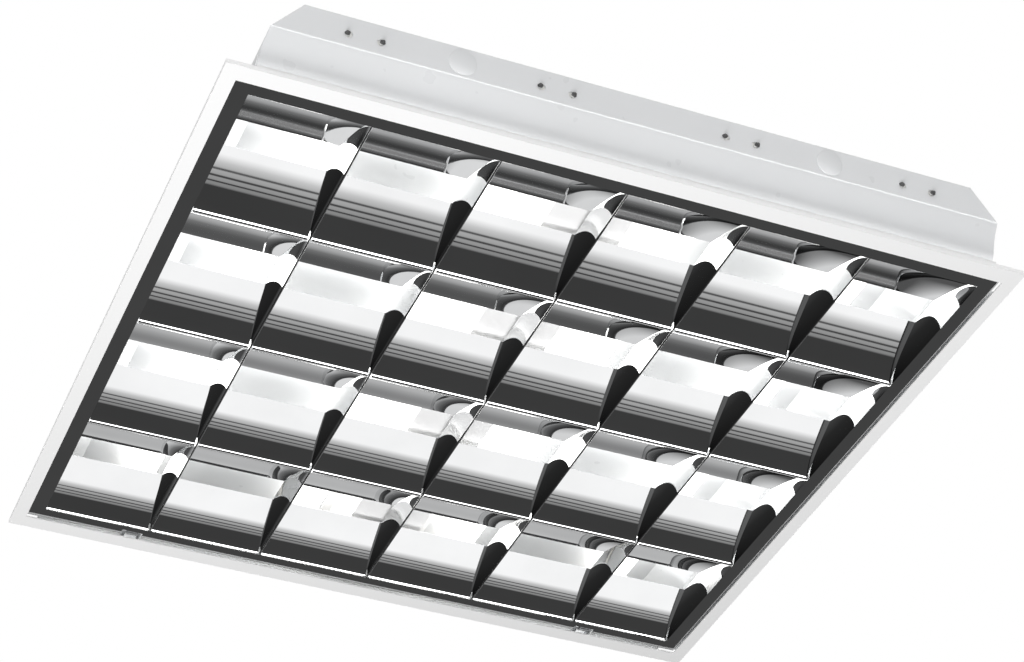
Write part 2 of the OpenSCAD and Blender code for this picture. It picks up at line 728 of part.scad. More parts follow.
// Eyes on the louvre that turn on the hinge pins
module hinge_eyes() {
    z0 = louvre_lift + louvre_t;
    seat_y = louvre_y - notch_depth;
    color("gainsboro") from_face() for (x = [-1, 1]) translate([x * hinge_x, 0, 0]) difference() {
        union() {
            translate([0, hinge_y, hinge_z]) rotate([0, 90, 0])
                cylinder(r = eye_r, h = eye_l, center = true, $fn = round_fn);
            along_x(eye_l) polygon([[seat_y - 4, z0], [seat_y, z0], [hinge_y - 0.5, hinge_z - eye_r + 0.3],
                [hinge_y, hinge_z], [hinge_y - 1.5, hinge_z + 0.5], [seat_y - 4, z0 + 0.8]]);
        }
        translate([0, hinge_y, hinge_z]) rotate([0, 90, 0])
            cylinder(r = hinge_pin_r + pin_gap, h = eye_l + 2 * over, center = true, $fn = round_fn);
    }
}

module at_lamp(k) {
    from_face() translate([lamps[k - 1] * lamp_pitch, 0, lamp_h]) rotate([90, 0, 0]) children();
}

module lamp_tube(k) {
    color("white") at_lamp(k) difference() {
        cylinder(d = lamp_d, h = lamp_l - 2 * cap_l, center = true, $fn = round_fn);
        cylinder(d = lamp_d - 2 * glass_t, h = lamp_l, center = true, $fn = round_fn);
    }
}

module lamp_caps(k) {
    color("gainsboro") at_lamp(k) for (s = [0, 180])
        rotate([s, 0, 0]) translate([0, 0, lamp_l / 2 - cap_l]) difference() {
            cylinder(d = lamp_d - glass_t / 2, h = cap_l, $fn = round_fn);
            translate([0, 0, -over]) cylinder(d = lamp_d - glass_t * 3, h = cap_l, $fn = round_fn);
        }
}

module lamp_pins(k) {
    color("gold") at_lamp(k) for (s = [-1, 1], x = [-1, 1])
        translate([x * pin_pitch / 2, 0, s * (lamp_l + pin_l) / 2])
            cylinder(d = pin_d, h = pin_l, center = true, $fn = small_fn);
}

module holder_rotors(k) {
    color("whitesmoke") at_lamp(k) for (s = [0, 180])
        rotate([s, 0, 0]) translate([0, 0, lamp_l / 2 + fit_gap]) difference() {
            cylinder(r = rotor_r, h = rotor_depth, $fn = round_fn);
            translate([-rotor_r - over, -pin_d / 2 - 0.3, -over])
                cube([2 * (rotor_r + over), pin_d + 0.6, pin_l + over]);
        }
}

tray();
end_plate_front();
end_plate_rear();
bezel_rail_end(false);  // bezel_rail_front
bezel_rail_end(true);  // bezel_rail_rear
bezel_rail_side(false);  // bezel_rail_left
bezel_rail_side(true);  // bezel_rail_right
cable_grommet();
terminal_block();
terminal_screws();
earth_stud();
ballast_front();
ballast_rear();
ballast_connectors();
ballast_screws();
gear_cover();
cover_screws();
lampholders_front();
lampholders_rear();
harness_front();
harness_rear();
supply_leads();
cable_clips();
hinge_brackets();
catch_springs();
louvre_edge_front();
louvre_edge_rear();
louvre_edge_left();
louvre_edge_right();
side_reflector(-1);  // side_reflector_1
side_reflector(0);  // side_reflector_2
side_reflector(1);  // side_reflector_3
cross_blade(-2);  // cross_blade_1
cross_blade(-1);  // cross_blade_2
cross_blade(0);  // cross_blade_3
cross_blade(1);  // cross_blade_4
cross_blade(2);  // cross_blade_5
hinge_eyes();
catch_tabs();
lamp_tube(1);  // lamp_tube_1
lamp_tube(2);  // lamp_tube_2
lamp_tube(3);  // lamp_tube_3
lamp_tube(4);  // lamp_tube_4
lamp_caps(1);  // lamp_caps_1
lamp_caps(2);  // lamp_caps_2
lamp_caps(3);  // lamp_caps_3
lamp_caps(4);  // lamp_caps_4
lamp_pins(1);  // lamp_pins_1
lamp_pins(2);  // lamp_pins_2
lamp_pins(3);  // lamp_pins_3
lamp_pins(4);  // lamp_pins_4
holder_rotors(1);  // holder_rotors_1
holder_rotors(2);  // holder_rotors_2
holder_rotors(3);  // holder_rotors_3
holder_rotors(4);  // holder_rotors_4
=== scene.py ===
import bpy, bmesh, math
from mathutils import Matrix, Vector


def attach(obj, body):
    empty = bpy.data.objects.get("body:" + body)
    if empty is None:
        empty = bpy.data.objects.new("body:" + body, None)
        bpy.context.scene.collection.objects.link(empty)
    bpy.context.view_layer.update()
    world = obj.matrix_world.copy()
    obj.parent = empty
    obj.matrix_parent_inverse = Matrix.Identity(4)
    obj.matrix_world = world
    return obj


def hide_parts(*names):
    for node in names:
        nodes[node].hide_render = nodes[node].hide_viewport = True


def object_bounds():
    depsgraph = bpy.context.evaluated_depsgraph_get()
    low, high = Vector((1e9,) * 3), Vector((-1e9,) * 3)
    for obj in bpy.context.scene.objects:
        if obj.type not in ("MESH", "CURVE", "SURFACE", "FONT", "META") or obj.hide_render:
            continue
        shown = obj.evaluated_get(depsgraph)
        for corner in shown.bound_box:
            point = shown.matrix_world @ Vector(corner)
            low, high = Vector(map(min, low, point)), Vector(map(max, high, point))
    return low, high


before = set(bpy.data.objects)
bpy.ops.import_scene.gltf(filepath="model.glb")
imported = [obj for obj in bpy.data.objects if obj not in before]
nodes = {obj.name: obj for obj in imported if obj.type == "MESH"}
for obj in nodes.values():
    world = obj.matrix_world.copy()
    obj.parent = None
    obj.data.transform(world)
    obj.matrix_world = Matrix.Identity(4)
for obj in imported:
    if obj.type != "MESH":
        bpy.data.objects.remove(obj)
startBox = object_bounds()
startBox = [list(startBox[0]), list(startBox[1])]
print("frame loaded")

# The bezel's face lies this far below the ceiling
faceZ = -0.056
mm = 0.001


# Camera, fitted to the bezel's corners, the louvre's ridges and the housing's edges in the photograph
cameraSettings = {"place": (-0.6186, -1.6142, -1.2214), "lens": 97.7, "sensor": 36, "clip": (0.05, 50),
                  "right": (0.92807, -0.37237, 0.00528), "down": (0.22705, 0.55452, -0.8006),
                  "ahead": (0.2952, 0.74421, 0.59918)}


def makeCamera(s):
    data = bpy.data.cameras.new("camera")
    data.lens = s["lens"]
    data.sensor_width = s["sensor"]
    data.clip_start, data.clip_end = s["clip"]
    obj = bpy.data.objects.new("camera", data)
    bpy.context.scene.collection.objects.link(obj)
    right, down, ahead = [Vector(s[axis]).normalized() for axis in ("right", "down", "ahead")]
    turn = Matrix((right, -down, -ahead)).transposed().to_4x4()
    turn.translation = Vector(s["place"]) + Vector((0, 0, faceZ))
    obj.matrix_world = turn
    bpy.context.scene.camera = obj


makeCamera(cameraSettings)


# Shader helpers: they add nodes to a tree, and those that make a value return its socket
def newMaterial(name):
    mat = bpy.data.materials.new(name)
    mat.use_nodes = True
    tree = mat.node_tree
    tree.nodes.clear()
    out = tree.nodes.new("ShaderNodeOutputMaterial")
    shader = tree.nodes.new("ShaderNodeBsdfPrincipled")
    tree.links.new(shader.outputs["BSDF"], out.inputs["Surface"])
    coords = tree.nodes.new("ShaderNodeTexCoord")
    return mat, tree, shader, coords.outputs["Object"]


def addNoise(tree, coords, scale, detail, stretch=None):
    source = coords
    if stretch:
        mapping = tree.nodes.new("ShaderNodeMapping")
        mapping.inputs["Scale"].default_value = stretch
        tree.links.new(coords, mapping.inputs["Vector"])
        source = mapping.outputs["Vector"]
    noise = tree.nodes.new("ShaderNodeTexNoise")
    noise.inputs["Scale"].default_value = scale
    noise.inputs["Detail"].default_value = detail
    tree.links.new(source, noise.inputs["Vector"])
    return noise.outputs["Fac"]


def addMath(tree, operation, *values):
    node = tree.nodes.new("ShaderNodeMath")
    node.operation = operation
    for socket, value in zip(node.inputs, values):
        if isinstance(value, (int, float)):
            socket.default_value = value
        else:
            tree.links.new(value, socket)
    return node.outputs[0]


def addRamp(tree, fac, stops):
    ramp = tree.nodes.new("ShaderNodeValToRGB")
    while len(ramp.color_ramp.elements) < len(stops):
        ramp.color_ramp.elements.new(0.5)
    for element, (place, value) in zip(ramp.color_ramp.elements, stops):
        element.position = place
        element.color = (*value, 1) if isinstance(value, tuple) else (value, value, value, 1)
    tree.links.new(fac, ramp.inputs["Fac"])
    return ramp.outputs["Color"]


# A ramp over a range of angles in degrees, or of any other value when unit is 1
def rampOver(tree, value, low, high, stops, unit=math.pi / 180):
    share = addMath(tree, "MULTIPLY_ADD", value, 1 / (high - low) / unit, -low / (high - low))
    return addRamp(tree, share, [((place - low) / (high - low), v) for place, v in stops])


def splitAxes(tree, vector):
    separate = tree.nodes.new("ShaderNodeSeparateXYZ")
    tree.links.new(vector, separate.inputs["Vector"])
    return separate.outputs


def mixColors(tree, blend, factor, first, second):
    mixed = tree.nodes.new("ShaderNodeMix")
    mixed.data_type = "RGBA"
    mixed.blend_type = blend
    if isinstance(factor, (int, float)):
        mixed.inputs["Factor"].default_value = factor
    else:
        tree.links.new(factor, mixed.inputs["Factor"])
    # The two colour sockets of a mix node
    tree.links.new(first, mixed.inputs[6])
    tree.links.new(second, mixed.inputs[7])
    return mixed.outputs[2]


def addBump(tree, shader, height, distance, strength):
    bump = tree.nodes.new("ShaderNodeBump")
    bump.inputs["Distance"].default_value = distance
    bump.inputs["Strength"].default_value = strength
    tree.links.new(height, bump.inputs["Height"])
    tree.links.new(bump.outputs["Normal"], shader.inputs["Normal"])


def rampInto(tree, shader, socket, value, stops):
    tree.links.new(addRamp(tree, value, stops), shader.inputs[socket])


def dimmed(color, share):
    return tuple(c * share for c in color)


# Powder coat: a fine orange peel, a slow change of tone and slightly uneven gloss
paintSkin = {"toneScale": 8, "glossScale": 60, "glossSwing": 0.04,
             "peelScale": 900, "peel": 0.00004, "peelStrength": 0.4}


def paint(name, s):
    mat, tree, shader, coords = newMaterial(name)
    skin = paintSkin
    tone = addNoise(tree, coords, skin["toneScale"], 3)
    rampInto(tree, shader, "Base Color", tone, [(0.3, dimmed(s["color"], s["toneDrop"])), (0.7, s["color"])])
    gloss = addNoise(tree, coords, skin["glossScale"], 2)
    swing = skin["glossSwing"]
    rampInto(tree, shader, "Roughness", gloss, [(0.2, s["rough"] - swing), (0.8, s["rough"] + swing)])
    addBump(tree, shader, addNoise(tree, coords, skin["peelScale"], 1), skin["peel"], skin["peelStrength"])
    return mat


# Moulded plastic: a slow change of tone and a fine grain
plasticSkin = {"toneScale": 35, "toneDrop": 0.94, "grainScale": 1400, "grain": 0.00003, "grainStrength": 0.5}


def plasticTone(tree, coords, color):
    tone = addNoise(tree, coords, plasticSkin["toneScale"], 2)
    return addRamp(tree, tone, [(0.35, dimmed(color, plasticSkin["toneDrop"])), (0.65, color)])


def plastic(name, s):
    mat, tree, shader, coords = newMaterial(name)
    base = plasticTone(tree, coords, s["color"])
    # Painted shade on the snap feet, for a holder that gives a foot colour
    if "foot" in s:
        base = darkFeet(tree, coords, base, s)
    tree.links.new(base, shader.inputs["Base Color"])
    shader.inputs["Roughness"].default_value = s["rough"]
    grain = addNoise(tree, coords, plasticSkin["grainScale"], 1)
    addBump(tree, shader, grain, plasticSkin["grain"], plasticSkin["grainStrength"])
    return mat


# Painted shade: the lampholders' snap feet are painted near-black where they pass through the end plates, standing in
# for the shade inside the holes
def darkFeet(tree, coords, base, s):
    distance = addMath(tree, "ABSOLUTE", splitAxes(tree, coords)["Y"])
    holeShadeMask = addMath(tree, "MULTIPLY_ADD", distance, s["sharpness"], -s["strip"] * s["sharpness"])
    # The foot colour is near-black painted shade, with a faint random speckle
    speckle = addNoise(tree, coords, s["footScale"], 2)
    foot = addRamp(tree, speckle, [(0.35, dimmed(s["foot"], s["footDrop"])), (0.65, s["foot"])])
    return mixColors(tree, "MIX", addRamp(tree, holeShadeMask, [(0, 0.0), (0.05, 1.0)]), base, foot)


# Bright-anodised sheet: faint rolling lines along the sheet and a few soft smears
mirrorSkin = {"color": (0.93, 0.935, 0.94), "low": (0.88, 0.885, 0.89), "rough": 0.022, "smearScale": 14,
              "lineScale": 240, "lineSwing": (0.6, 1.5), "waveScale": 18, "wave": 0.00002, "waveStrength": 0.3}


def mirrorSheet(name, stretch):
    mat, tree, shader, coords = newMaterial(name)
    skin = mirrorSkin
    shader.inputs["Metallic"].default_value = 1
    smear = addNoise(tree, coords, skin["smearScale"], 4)
    rampInto(tree, shader, "Base Color", smear, [(0.35, skin["low"]), (0.65, skin["color"])])
    lines = addNoise(tree, coords, skin["lineScale"], 2, stretch)
    low, high = [skin["rough"] * swing for swing in skin["lineSwing"]]
    rampInto(tree, shader, "Roughness", lines, [(0.3, low), (0.7, high)])
    addBump(tree, shader, addNoise(tree, coords, skin["waveScale"], 1), skin["wave"], skin["waveStrength"])
    return mat


# Bare metal: a grain that changes tone and gloss together
metalSkin = {"toneDrop": 0.8, "glossSwing": 0.1}


def metal(name, s):
    mat, tree, shader, coords = newMaterial(name)
    shader.inputs["Metallic"].default_value = 1
    grain = addNoise(tree, coords, s["scale"], 3, s.get("stretch"))
    rampInto(tree, shader, "Base Color", grain, [(0.3, dimmed(s["color"], metalSkin["toneDrop"])), (0.7, s["color"])])
    rampInto(tree, shader, "Roughness", grain, [(0.2, s["rough"] + metalSkin["glossSwing"]), (0.8, s["rough"])])
    return mat


# Lit phosphor coating, which greys and dims towards the lamp's ends
def phosphorGlass(name, s):
    mat, tree, shader, coords = newMaterial(name)
    share = addMath(tree, "MULTIPLY", addMath(tree, "ABSOLUTE", splitAxes(tree, coords)["Y"]), 1 / s["half"])
    rampInto(tree, shader, "Base Color", share, [(0.87, s["color"]), (0.96, s["end"])])
    rampInto(tree, shader, "Emission Color", share, [(0.8, s["lit"]), (0.94, s["litEnd"])])
    shader.inputs["Roughness"].default_value = s["rough"]
    shader.inputs["Coat Weight"].default_value = s["coat"]
    shader.inputs["Emission Strength"].default_value = s["glow"]
    addBump(tree, shader, addNoise(tree, coords, s["waveScale"], 1), s["wave"], s["waveStrength"])
    return mat


mats = {
    "housing": paint("housing_paint", {"color": (0.735, 0.745, 0.755), "toneDrop": 0.975, "rough": 0.3}),
    "bezel": paint("bezel_paint", {"color": (0.96, 0.96, 0.96), "toneDrop": 0.985, "rough": 0.34}),
    "mirrorX": mirrorSheet("mirror_sheet_x", (0.02, 1, 1)),
    "mirrorY": mirrorSheet("mirror_sheet_y", (1, 0.02, 1)),
    "zinc": metal("zinc_sheet", {"color": (0.62, 0.63, 0.65), "scale": 90, "rough": 0.3}),
    "screw": metal("screw_steel", {"color": (0.6, 0.6, 0.62), "scale": 400, "rough": 0.25}),
    "cap": metal("cap_aluminium", {"color": (0.72, 0.72, 0.73), "scale": 300, "rough": 0.28, "stretch": (1, 0.05, 1)}),
    "brass": metal("pin_brass", {"color": (0.75, 0.6, 0.3), "scale": 500, "rough": 0.2}),
    # The holder's foot colour is near-black painted shade for the holes that its feet pass through
    "holder": plastic("holder_plastic", {"color": (0.86, 0.86, 0.84), "rough": 0.4, "foot": (0.09, 0.09, 0.09),
                                         "footDrop": 0.6, "footScale": 350, "strip": 0.309, "sharpness": 100}),
    "clip": plastic("clip_plastic", {"color": (0.84, 0.84, 0.82), "rough": 0.4}),
    "terminal": plastic("terminal_plastic", {"color": (0.8, 0.79, 0.75), "rough": 0.45}),
    "wire": plastic("wire_insulation", {"color": (0.78, 0.77, 0.73), "rough": 0.5}),
    "rubber": plastic("grommet_rubber", {"color": (0.03, 0.03, 0.03), "rough": 0.7}),
    "tube": phosphorGlass("lamp_phosphor", {"color": (0.88, 0.88, 0.86), "end": (0.6, 0.59, 0.57), "half": 0.295,
                                            "lit": (1, 0.99, 0.97), "litEnd": (0.4, 0.39, 0.37), "glow": 2.4,
                                            "rough": 0.12, "coat": 0.4, "waveScale": 300, "wave": 0.00001,
                                            "waveStrength": 0.3}),
}

# The nodes that keep the CAD's mesh, by material; a star stands for each of the four lamps' numbers
bezelNodes = ["bezel_rail_front", "bezel_rail_rear", "bezel_rail_left", "bezel_rail_right"]
keptNodes = {
    "housing": ["tray"],
    # The gear cover takes the whiter bezel paint: painted light, brighter than the tray's paint so that it does not
    # show greyer for the light it misses between the lamps
    "bezel": bezelNodes + ["gear_cover"],
    "zinc": ["ballast_front", "ballast_rear", "hinge_brackets", "catch_springs", "hinge_eyes", "catch_tabs"],
    "screw": ["terminal_screws", "ballast_screws", "cover_screws"],
    "cap": ["lamp_caps_*"],
    "brass": ["lamp_pins_*", "earth_stud"],
    "tube": ["lamp_tube_*"],
    "holder": ["lampholders_front", "lampholders_rear"],
    "clip": ["cable_clips", "holder_rotors_*"],
    "terminal": ["terminal_block", "ballast_connectors"],
    "wire": ["harness_front", "harness_rear", "supply_leads"],
    "rubber": ["cable_grommet"],
}


def dress(name, mat):
    for each in sorted({name.replace("*", str(k)) for k in range(1, 5)}):
        data = nodes[each].data
        data.materials.clear()
        data.materials.append(mat)


for word, names in keptNodes.items():
    for name in names:
        dress(name, mats[word])
print("materials made")


# Sheet-metal helpers: a grid is shaped point by point, cleaned, turned outwards and given its thickness
def at(x, y, z):
    return Vector((x * mm, y * mm, z * mm + faceZ))


def addGrid(work, across, up, place):
    made = bmesh.ops.create_grid(work, x_segments=across, y_segments=up, size=0.5)["verts"]
    for vert in made:
        vert.co = place(round((vert.co.x + 0.5) * across), round((vert.co.y + 0.5) * up))


def cutFaces(work, unwanted):
    faces = [f for f in work.faces if unwanted(f.calc_center_median() / mm)]
    bmesh.ops.delete(work, geom=faces, context="FACES")


# The settings give the sheet's thickness and the angle above which an edge stays sharp.
# outward gives, for a point in mm, a direction that leans the way the sheet's drawn side faces.
def finishSheet(work, s, name, mat, body, replaced, outward):
    bmesh.ops.remove_doubles(work, verts=work.verts, dist=0.02 * mm)
    turned = [f for f in work.faces if f.normal.dot(outward(f.calc_center_median() / mm)) < 0]
    bmesh.ops.reverse_faces(work, faces=turned)
    mesh = bpy.data.meshes.new(name)
    work.to_mesh(mesh)
    work.free()
    mesh.materials.append(mat)
    obj = bpy.data.objects.new(name, mesh)
    bpy.context.scene.collection.objects.link(obj)
    solid = obj.modifiers.new("sheet", "SOLIDIFY")
    solid.thickness = s["sheet"] * mm
    solid.offset = -1
    applyModifiers(obj)
    smoothMesh(obj.data, s["sharp"])
    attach(obj, body)
    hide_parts(*replaced)
    return obj


def applyModifiers(obj):
    done = bpy.data.meshes.new_from_object(obj.evaluated_get(bpy.context.evaluated_depsgraph_get()))
    obj.modifiers.clear()
    obj.data = done


def smoothMesh(mesh, angle):
    for polygon in mesh.polygons:
        polygon.use_smooth = True
    mesh.set_sharp_from_angle(angle=math.radians(angle))


# Louvre, drawn finer than the CAD's so that its mirrors are smooth. Lengths in mm, from its lower face up.
# A reflector has slots for the five blades from its ridge up to the lap, and a blade fills them with a gap.
louvreSettings = {"lift": 2.4, "height": 22, "sheet": 0.5, "sharp": 35, "gap": 0.3, "lap": 5,
                  "rows": (-1, 0, 1), "rowPitch": 138.4, "blades": (-2, -1, 0, 1, 2), "bladePitch": 93.7,
                  "bladesReach": 2.3 * 93.7, "columns": (-3, -2, -1, 0, 1, 2), "shares": (0.25, 0.5, 0.75),
                  "wing": {"half": 1.25, "spread": 50.75, "power": 1.8},
                  "blade": {"half": 0.8, "spread": 5.2, "power": 1.8},
                  "bandX": 274, "bandY": 270, "outX": 286, "outY": 282.5, "reach": 273.1,
                  "slot": 1.6, "slotSlack": 0.1, "notch": (191.5, 208.5, 6.2),
                  "steps": 40, "ridgeSteps": 10, "ridgeRoom": 0.2, "crowding": 1.2,
                  "cellSteps": 8, "lapSteps": 2, "lapSlack": 0.01}


# How far a flare has spread from its foot at a height
def flareAt(shape, height, z):
    return shape["spread"] * (z / height) ** shape["power"]


# Half width of a reflector or blade at a height: its rounded ridge and then its flare
def widthAt(shape, height, z):
    low = min(z, shape["half"])
    arc = math.sqrt(max(0, shape["half"] ** 2 - (shape["half"] - low) ** 2))
    return arc + flareAt(shape, height, z)


# Heights to draw at, close together round the ridge, with one at the lap
def heightsOf(s, shape, cut):
    arc = {shape["half"] * (1 - math.cos(math.pi / 2 * k / s["ridgeSteps"])) for k in range(s["ridgeSteps"] + 1)}
    rest = {s["height"] * k / s["steps"] for k in range(1, s["steps"] + 1)}
    return sorted({round(z, 4) for z in arc | {z for z in rest if z > shape["half"] + s["ridgeRoom"]} | {cut}})


# Places along a reflector to draw at: its ends, quarters of each cell and both sides of each slot
def slotPlaces(s):
    places = {-s["reach"], s["reach"]}
    places |= {s["bladePitch"] * (k + f) for k in s["columns"] for f in s["shares"]}
    places |= {k * s["bladePitch"] + side * s["slot"] for k in s["blades"] for side in (-1, 1)}
    return sorted(places)


def inSlot(s, c):
    x = (c.x + s["bladePitch"] / 2) % s["bladePitch"] - s["bladePitch"] / 2
    belowLap = c.z - faceZ / mm < s["lift"] + s["lap"]
    return abs(x) < s["slot"] - s["slotSlack"] and abs(c.x) < s["bladesReach"] and belowLap


def finishMirror(work, s, name, mat, replaced, outward):
    finishSheet(work, s, name, mats[mat], "louvre", [replaced], outward)


def sideReflector(s, k):
    work = bmesh.new()
    places = slotPlaces(s)
    heights = heightsOf(s, s["wing"], s["lap"])
    last = len(heights) - 1
    middle = k * s["rowPitch"]

    def place(i, j):
        z = heights[abs(j - last)]
        side = 1 if j > last else -1
        return at(places[i], middle + side * widthAt(s["wing"], s["height"], z), s["lift"] + z)
    addGrid(work, len(places) - 1, 2 * last, place)
    cutFaces(work, lambda c: inSlot(s, c))
    finishMirror(work, s, "mirror_wing_%d" % (k + 2), "mirrorX", "side_reflector_%d" % (k + 2),
                 lambda c: Vector((0, (c.y - middle) * 0.05, -1)))


# Flat band of the front or rear edge with its mitres, and the half reflector that rises from it
def edgeReflector(s, side):
    work = bmesh.new()
    places = slotPlaces(s)
    heights = [s["height"] * (k / s["steps"]) ** s["crowding"] for k in range(s["steps"] + 1)]
    heights = sorted({round(z, 4) for z in heights} | {s["lap"]})

    def placeFlare(i, j):
        return at(places[i], side * (s["bandY"] - flareAt(s["wing"], s["height"], heights[j])), s["lift"] + heights[j])
    addGrid(work, len(places) - 1, len(heights) - 1, placeFlare)
    cutFaces(work, lambda c: inSlot(s, c))
    # The band is cut in lines so that the rear one can have its two notches for the hinges
    low, high, depth = s["notch"]
    cuts = [-high, -low, low, high]
    lines = [s["outY"], s["outY"] - depth, s["bandY"]]

    def placeBand(i, j):
        edge = s["bandX"] + (s["outX"] - s["bandX"]) * (lines[j] - s["bandY"]) / (s["outY"] - s["bandY"])
        return at([-edge, *cuts, edge][i], side * lines[j], s["lift"])
    addGrid(work, len(cuts) + 1, len(lines) - 1, placeBand)
    if side > 0:
        cutFaces(work, lambda c: low < abs(c.x) < high and c.y > s["outY"] - depth)
    word = "rear" if side > 0 else "front"
    finishMirror(work, s, "mirror_edge_" + word, "mirrorX", "louvre_edge_" + word,
                 lambda c: Vector((0, -side * 0.05, -1)))


# The mirrors of a blade or a side edge between the reflectors, and below the lap through their ridges
def addCross(s, work, xAt, heights, through):
    edge = s["bandY"] + s["wing"]["half"]
    ridges = [-edge, *[k * s["rowPitch"] for k in s["rows"]], edge]
    reach = {z: widthAt(s["wing"], s["height"], max(z, s["wing"]["half"])) + s["gap"] for z in heights}
    for low, high in zip(ridges[:-1], ridges[1:]):
        def placeCell(i, j):
            z = heights[j]
            start, stop = low + reach[z], high - reach[z]
            return at(xAt(z), start + (stop - start) * i / s["cellSteps"], s["lift"] + z)
        addGrid(work, s["cellSteps"], len(heights) - 1, placeCell)
    if not through:
        return
    lap = [z for z in heights if z <= s["lap"] - s["gap"] + s["lapSlack"]]
    end = s["bandY"] - s["gap"]
    for line in ridges:
        def placeLap(i, j):
            z = lap[j]
            start, stop = max(line - reach[z], -end), min(line + reach[z], end)
            return at(xAt(z), start + (stop - start) * i / s["lapSteps"], s["lift"] + z)
        addGrid(work, s["lapSteps"], len(lap) - 1, placeLap)


def crossBlade(s, k):
    work = bmesh.new()
    middle = k * s["bladePitch"]
    heights = heightsOf(s, s["blade"], s["lap"] - s["gap"])
    for side in (-1, 1):
        addCross(s, work, lambda z: middle + side * widthAt(s["blade"], s["height"], z), heights, True)
    finishMirror(work, s, "mirror_blade_%d" % (k + 3), "mirrorY", "cross_blade_%d" % (k + 3),
                 lambda c: Vector(((c.x - middle) * 0.3, 0, -0.4)))


# Flat band of the left or right edge, and the narrow half flare that rises from it between the reflectors
def sideEdge(s, side):
    work = bmesh.new()
    heights = heightsOf(s, s["blade"], s["lap"])
    addCross(s, work, lambda z: side * (s["bandX"] - flareAt(s["blade"], s["height"], z)), heights, False)
    ends = [(s["outX"], s["outY"]), (s["bandX"], s["bandY"])]
    addGrid(work, 1, 1, lambda i, j: at(side * ends[i][0], (2 * j - 1) * ends[i][1], s["lift"]))
    word = "right" if side > 0 else "left"
    finishMirror(work, s, "mirror_edge_" + word, "mirrorY", "louvre_edge_" + word,
                 lambda c: Vector((-side * 0.5, 0, -0.4)))


for k in louvreSettings["rows"]:
    sideReflector(louvreSettings, k)
for side in (-1, 1):
    edgeReflector(louvreSettings, side)
    sideEdge(louvreSettings, side)
for k in louvreSettings["blades"]:
    crossBlade(louvreSettings, k)
print("louvre made")

# End plates: foot, bowed wall, rounded bend and lampholder strip in one sheet, pierced for the lampholders' feet.
# Lengths in mm, from the bezel's face up; the outline gives half the plate's width at some heights.
plateSettings = {"foot": 290, "footLow": 1.2, "footTop": 8, "footBend": 1, "bend": (307.7, 32.5), "bow": 1.5, "lean": 8,
                 "top": 56, "radius": 3, "sheet": 0.8, "sharp": 50, "bendRoom": 1.1, "arcRoom": 0.3,
                 "wallSteps": 18, "bendSteps": 8, "stripShares": (0.03, 0.97, 1), "columns": 24,
                 "outline": [(0, 275), (16.25, 275), (32.5, 272.5), (56, 251)],
                 "lamps": 4, "footPitch": 24, "lampPitch": 138.4, "feetZ": 42.5,
                 "hole": {"radius": 2.6, "low": -4, "high": 4, "sides": 24}, "holeIn": 1,
                 "discX": 138, "discZ": 44.25, "disc": {"radius": 10, "low": -0.3, "high": 0.45, "sides": 64},
                 "rim": 0.3, "rimSteps": 3}


# Outer line of a plate from its foot up, its bend an arc that meets wall and strip
def plateLine(s):
    y, z = s["bend"]
    height = z - s["footTop"]
    line = [(s["foot"], s["footLow"]), (s["foot"], s["footTop"] - s["footBend"])]
    for k in range(s["wallSteps"] + 1):
        t = k / s["wallSteps"] * (1 - s["bendRoom"] / height)
        line.append((s["foot"] + (y - s["foot"]) * t ** s["bow"], s["footTop"] + height * t))
    strip = math.radians(s["lean"])
    wall = math.atan2((y - s["foot"]) * s["bow"], height)
    reach = s["radius"] * math.tan((wall - strip) / 2)
    startY, startZ = y - reach * math.sin(wall), z - reach * math.cos(wall)
    line = [q for q in line if q[1] < startZ - s["arcRoom"]]
    centreY, centreZ = startY - s["radius"] * math.cos(wall), startZ + s["radius"] * math.sin(wall)
    for k in range(s["bendSteps"] + 1):
        turn = wall + (strip - wall) * k / s["bendSteps"]
        line.append((centreY + s["radius"] * math.cos(turn), centreZ - s["radius"] * math.sin(turn)))
    top = y + (s["top"] - z) * math.tan(strip)
    endY, endZ = line[-1]
    for f in s["stripShares"]:
        line.append((endY + (top - endY) * f, endZ + (s["top"] - endZ) * f))
    return line


def outlineAt(s, z):
    for (z0, x0), (z1, x1) in zip(s["outline"][:-1], s["outline"][1:]):
        if z <= z1:
            return x0 + (x1 - x0) * (z - z0) / (z1 - z0)
    return s["outline"][-1][1]


# Point at a height on the strip, or out of it by a length
def onStrip(s, side, x, z, out):
    lean = math.radians(s["lean"])
    y = s["bend"][0] + (z - s["bend"][1]) * math.tan(lean)
    return at(x, side * (y + out * math.cos(lean)), z - out * math.sin(lean))


# A round rod through the strip, from a low to a high end
def addRod(work, s, side, x, z, rod):
    start, stop = onStrip(s, side, x, z, rod["low"]), onStrip(s, side, x, z, rod["high"])
    turn = (stop - start).to_track_quat("Z", "Y").to_matrix().to_4x4()
    turn.translation = (start + stop) / 2
    radius = rod["radius"] * mm
    return bmesh.ops.create_cone(work, cap_ends=True, segments=rod["sides"], radius1=radius, radius2=radius,
                                 depth=(stop - start).length, matrix=turn)["verts"]


def pierce(plate, s, side):
    cutter = bmesh.new()
    for k in range(s["lamps"]):
        for foot in (-1, 1):
            x = (k - (s["lamps"] - 1) / 2) * s["lampPitch"] + foot * (s["footPitch"] / 2 - s["holeIn"])
            addRod(cutter, s, side, x, s["feetZ"], s["hole"])
    holes = bpy.data.objects.new("holes", bpy.data.meshes.new("holes"))
    cutter.to_mesh(holes.data)
    cutter.free()
    bpy.context.scene.collection.objects.link(holes)
    cut = plate.modifiers.new("holes", "BOOLEAN")
    cut.object = holes
    cut.solver = "EXACT"
    applyModifiers(plate)
    bpy.data.objects.remove(holes)


